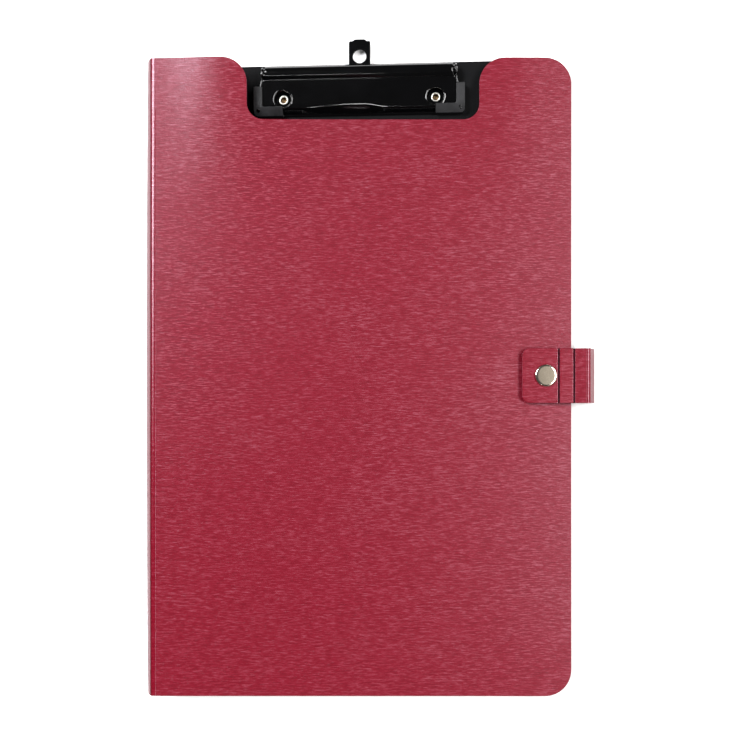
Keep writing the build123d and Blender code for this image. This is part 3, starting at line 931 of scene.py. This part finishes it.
flanges = []
for sd in (-1, 1):
    ys = [149.5 + (166.5 - 149.5) * i / 30 for i in range(31)] + [166.5 + (173.05 - 166.5) * sin(pi / 2 * i / 20) for i in range(1, 21)]
    vs, fs = [], []
    for y in ys:
        hw, zt, zb = wing_x(y), wing_top(y), wing_bottom(y)
        rise = 0.30 * max(0.0, sin(pi * min(1.0, max(0.0, (y - 153.0) / 16.0))))
        zt += rise
        r = min(0.32, (zt - zb) * 0.45)
        sec = [(hw - PT, zb), (hw, zb)]
        sec += [(hw - r + r * cos(radians(t)), zt - r + r * sin(radians(t))) for t in (0, 30, 60, 90)]
        sec += [(hw - PT + r + r * cos(radians(t)), zt - r + r * sin(radians(t))) for t in (90, 120, 150, 180)]
        vs += [(CLIPX + sd * x, y, z) for x, z in sec]
    n = 10
    for i in range(len(ys) - 1):
        for k in range(n):
            fs.append((i * n + k, i * n + (k + 1) % n, (i + 1) * n + (k + 1) % n, (i + 1) * n + k))
    fs.append(tuple(range(n)))
    fs.append(tuple((len(ys) - 1) * n + k for k in range(n)))
    flanges.append(obj_from("wing", vs, fs))
jaw = joined("clip_jaw_plate_mesh", [jaw] + rims + flanges)
m = jaw.modifiers.new("weighted", "WEIGHTED_NORMAL")
bake(jaw)
finish_piece(jaw, "jaw", BLACK, "black_metal", "clip_jaw_plate")

# ------------------------------------------------------------------ rubber grips


def grip(sd, lo, hi, node):
    """L-shaped rubber boot: a round outer corner, soft edges."""
    xo = lo.x if sd < 0 else hi.x
    w = 4.8
    xi = xo - sd * w
    xe = hi.x if sd < 0 else lo.x
    y0, y1 = lo.y, hi.y
    yi = y0 + 4.9
    loop = [(xo, y1), (xi, y1), (xi, yi + 1.2)]
    loop += bez((xi, yi + 1.2), (xi, yi), (xi - sd * 1.2, yi), 5)[1:]
    loop += [(xe, yi), (xe, y0)]
    loop += bez((xo - sd * 2.6, y0), (xo, y0), (xo, y0 + 2.6), 8)
    if sd > 0:
        loop = loop[::-1]
    cuts_x = [xo + (xe - xo) * k / 6 for k in range(1, 6)]
    cuts_y = [y0 + (y1 - y0) * k / 7 for k in range(1, 7)]
    zt = hi.z

    def soft(u, v):
        return 0.0

    ob = outline_plate("grip_%s" % ("left" if sd < 0 else "right"), loop, [], lambda a, b, c: Vector((a, b, c)), lo.z, zt, cuts_x, cuts_y, soft)
    # the top slopes with the plate, and the front drops over the lip
    for v in ob.data.vertices:
        y, z = v.co.y / MM, v.co.z / MM
        if z > 8:
            drop = max(0.0, (150.2 - y)) * 0.62
            v.co.z -= drop * MM
    tidy(ob)
    bevel(ob, 0.55, 3, 40, False)
    bake(ob)
    tidy(ob)
    w_ = ob.modifiers.new("weighted", "WEIGHTED_NORMAL")
    bake(ob)
    finish_piece(ob, "jaw", RUBBER, "grip_rubber", node)


grip(-1, gl_lo, gl_hi, "jaw_grip_left")
grip(1, gr_lo, gr_hi, "jaw_grip_right")
# the moulded peg mark in each boot's outer corner
for sd, lo, hi, node in ((-1, gl_lo, gl_hi, "left"), (1, gr_lo, gr_hi, "right")):
    cx = (lo.x if sd < 0 else hi.x) - sd * 2.5
    cy = lo.y + 2.7
    cz = hi.z - max(0.0, 150.2 - cy) * 0.62

    def at_peg(a, b, h, cx=cx, cy=cy, cz=cz):
        return Vector((cx + a, cy + b, cz + h - 0.62 * -b * (1 if cy + b < 150.2 else 0)))

    peg = lathe("grip_peg_%s" % node, [(0, 0.02), (0.38, 0.02), (0.52, 0.10), (0.66, 0.14), (0.82, 0.12), (0.92, 0.02), (0.92, -0.3), (0, -0.3)], at_peg, 32)
    finish_piece(peg, "jaw", BLACK, "black_metal")

# ------------------------------------------------------------------ rivets
rv = []
rb = []
for x in RIV_X:
    def at_riv(a, b, h, x=x):
        return Vector((x + a, RIV_Y + b, h))

    zt = BOARD_TOP + 0.8
    prof = [(1.62, zt + 0.2), (1.72, zt + 0.62), (1.95, zt + 0.86), (2.2, zt + 0.93), (2.45, zt + 0.84), (2.62, zt + 0.6), (2.65, zt + 0.35), (2.55, zt + 0.08), (2.2, zt + 0.0), (2.2, 1.25), (4.45, 1.15), (4.6, 0.9), (4.5, 0.5), (4.1, 0.3), (1.6, 0.27), (1.6, 0.6), (1.3, 0.65), (0, 0.65)]
    rv.append(lathe("rv", prof, at_riv, 64))
    rb.append(lathe("rb", [(1.66, zt + 0.5), (1.6, zt + 0.1), (1.58, 2.2), (1.2, 1.9), (0, 1.85)], at_riv, 48))
rivets = joined("clip_rivet_pair", rv)
finish_piece(rivets, "board", RING, "rivet_metal", "clip_rivets")
bores = joined("clip_rivet_bores", rb)
finish_piece(bores, "board", BRASS, "rivet_metal")

# ------------------------------------------------------------------ springs
COIL_R, WIRE_R, PITCH, TURNS = 2.2, 0.45, 1.3, 8.0


def tube(name, pts, r, n=10):
    verts, faces = [], []
    up = Vector((0, 0, 1))
    last = None
    for i, p in enumerate(pts):
        a = Vector(pts[max(0, i - 1)])
        b = Vector(pts[min(len(pts) - 1, i + 1)])
        d = (b - a).normalized()
        if last is None:
            s = d.orthogonal().normalized()
        else:
            s = (last - d * last.dot(d)).normalized()
        last = s
        q = d.cross(s)
        for k in range(n):
            an = 2 * pi * k / n
            verts.append(Vector(p) + s * (r * cos(an)) + q * (r * sin(an)))
    for i in range(len(pts) - 1):
        for k in range(n):
            a0, a1 = i * n + k, i * n + (k + 1) % n
            faces.append((a0, a1, a1 + n, a0 + n))
    faces.append(tuple(reversed(range(n))))
    faces.append(tuple((len(pts) - 1) * n + k for k in range(n)))
    return obj_from(name, verts, faces)


coils = []
for sd in (-1, 1):
    pts = []
    x0 = CLIPX + sd * 14.0
    # leg that bears on the base plate
    pts += [(x0, 158.6, 4.75), (x0, 161.5, 4.8), (x0, 166.0, 5.35), (x0, 168.6, 5.62)]
    steps = int(TURNS * 28)
    for i in range(steps + 1):
        a = -pi / 2 + 2 * pi * i / 28 * 1.0
        pts.append((x0 + sd * PITCH * i / 28, AXY + COIL_R * cos(a), AXZ + COIL_R * sin(a)))
    x1 = x0 + sd * PITCH * TURNS
    coils.append(tube("coil", pts, WIRE_R, 10))
coil = joined("clip_torsion_coils", coils)
finish_piece(coil, "board", STEEL, "steel", "clip_springs")

# ------------------------------------------------------------------ hanging tab
hw = 6.0
y_sh, y_hump = tab_hi.y - 1.0, tab_hi.y
loop = [(TABX - 6.3, tab_lo.y), (TABX + 6.3, tab_lo.y), (TABX + 6.3, tab_lo.y + 1.4), (TABX + hw, tab_lo.y + 1.4)]
loop += arc(TABX + hw - 0.8, y_sh - 0.8, 0.8, 0, 90, 5)
loop += bez((TABX + 4.4, y_sh), (TABX + 3.6, y_sh), (TABX + 3.1, y_hump - 0.2), 4)
loop += [(TABX + 2.4, y_hump), (TABX - 2.4, y_hump)]
loop += bez((TABX - 3.1, y_hump - 0.2), (TABX - 3.6, y_sh), (TABX - 4.4, y_sh), 4)
loop += arc(TABX - hw + 0.8, y_sh - 0.8, 0.8, 90, 180, 5)
loop += [(TABX - hw, tab_lo.y + 1.4), (TABX - 6.3, tab_lo.y + 1.4)]
hole = arc(TABX, 179.3, 3.75, 0, 354.375, 63)
tab = outline_plate("hanging_tab_plate", loop, [hole], lambda a, b, c: Vector((a, b, c)), tab_lo.z, tab_hi.z)
bevel(tab, 0.18, 2, 50)
bake(tab)
finish_piece(tab, "tab", TABMAT, "black_metal", "hanging_tab")

# ------------------------------------------------------------------ stage
bpy.ops.mesh.primitive_plane_add(size=2.8, location=(0, 0, CAD_BOX[0][2] - 0.0002))
floor = bpy.context.object
floor.name = "floor"
fm, nt, b = new_mat("floor_white")
fn = noise(nt, coords(nt, (3, 3, 3)), 1.0, 2.0, 0.5)
nt.links.new(ramp(nt, fn, [(0.3, (0.955, 0.955, 0.955)), (0.7, (0.97, 0.97, 0.97))]), b.inputs["Base Color"])
b.inputs["Roughness"].default_value = 0.8
b.inputs["Specular IOR Level"].default_value = 0.1
floor.data.materials.append(fm)

world = bpy.data.worlds.new("studio")
bpy.context.scene.world = world
world.use_nodes = True
wt = world.node_tree
dim = wt.nodes["Background"]               # what lights the object: a dim room
dim.inputs[0].default_value = (1, 1, 1, 1)
dim.inputs[1].default_value = 0.06
pale = wt.nodes.new("ShaderNodeBackground")  # what is seen past the floor: plain pale, as the floor
pale.inputs[0].default_value = (1, 1, 1, 1)
pale.inputs[1].default_value = 1.0
path = wt.nodes.new("ShaderNodeLightPath")
pick = wt.nodes.new("ShaderNodeMixShader")
wt.links.new(path.outputs["Is Camera Ray"], pick.inputs[0])
wt.links.new(dim.outputs[0], pick.inputs[1])
wt.links.new(pale.outputs[0], pick.inputs[2])
wt.links.new(pick.outputs[0], wt.nodes["World Output"].inputs["Surface"])


def area(name, loc, size, power, col=(1, 1, 1), target=(0, 0, 0.01)):
    d = bpy.data.lights.new(name, "AREA")
    d.shape = "RECTANGLE"
    d.size, d.size_y = size
    d.energy = power
    d.color = col
    o = bpy.data.objects.new(name, d)
    bpy.context.scene.collection.objects.link(o)
    o.location = loc
    o.rotation_euler = (Vector(target) - Vector(loc)).to_track_quat("-Z", "Y").to_euler()
    return o


area("soft_left", (-0.99, 0.66, 1.80), (1.0, 0.60), 69, (0.965, 0.98, 1.0))
area("soft_right", (1.27, 0.03, 1.80), (1.7, 0.60), 67, (1.0, 0.985, 0.975))
area("glint_lip", (-0.32, -1.15, 1.28), (0.40, 0.07), 5.2, (1, 1, 1), (-0.02, 0.15, 0.01))
area("ceiling_panel", (0.66, 0.03, 2.02), (0.50, 0.80), 0.50, (1.0, 0.95, 0.86), (0.66, 0.03, 0.0))

# ------------------------------------------------------------------ camera
PX, PY = 370.0, 417.0
UC, VC = (PX - 361.3) * 0.55, -(PY - 377.0) * 0.55
loc = leaf(UC, VC, 650.0) * MM
cam_d = bpy.data.cameras.new("camera")
cam_d.sensor_width = 36.0
cam_d.lens = (650.0 / 0.55) / 740.0 * 36.0
cam_d.shift_x = -(PX - 370.0) / 740.0
cam_d.shift_y = (PY - 370.0) / 740.0
cam_d.clip_start = 0.01
cam_d.clip_end = 30
cam = bpy.data.objects.new("camera", cam_d)
bpy.context.scene.collection.objects.link(cam)
cam.location = loc
cam.rotation_euler = (0, TILT, 0)
bpy.context.scene.camera = cam

sc = bpy.context.scene
sc.view_settings.view_transform = "Standard"
sc.view_settings.look = "None"
sc.view_settings.exposure = 0.0
